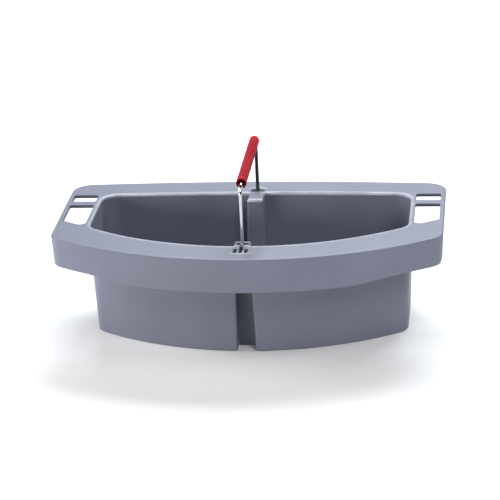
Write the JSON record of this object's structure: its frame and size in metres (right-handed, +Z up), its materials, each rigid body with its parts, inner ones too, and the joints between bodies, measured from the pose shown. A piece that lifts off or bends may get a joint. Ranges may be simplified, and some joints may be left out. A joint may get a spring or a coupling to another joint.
{
  "type": "carry caddy",
  "caption": "Bow-front moulded carry caddy with a deep open tub, a wide rim with hand slots in its ears and a swinging bail handle, for cleaning supplies on a service cart.",
  "frame": {"origin": "centre of the bounding box at the underside of the tub, on the surface that the caddy stands on", "axes": "+Z up, -Y towards the bowed front, +X to the right seen from the front, along the longest side"},
  "size_m": [0.4058, 0.2358, 0.1839],
  "materials": {
    "tub_plastic": "fine moulded grain, satin",
    "wire_steel": "bright plated",
    "grip_vinyl": "fluted, soft gloss"
  },
  "bodies": {
    "caddy": {"tub": "tub_plastic"},
    "bail": {"bail_wire": "wire_steel", "grip_sleeve": "grip_vinyl"}
  },
  "joints": [
    {"name": "bail_swing", "type": "hinge", "parent": "caddy", "child": "bail", "pos_m": [0, 0, 0.1156], "axis": [0, 1, 0], "range_deg": [-56, 56]}
  ]
}
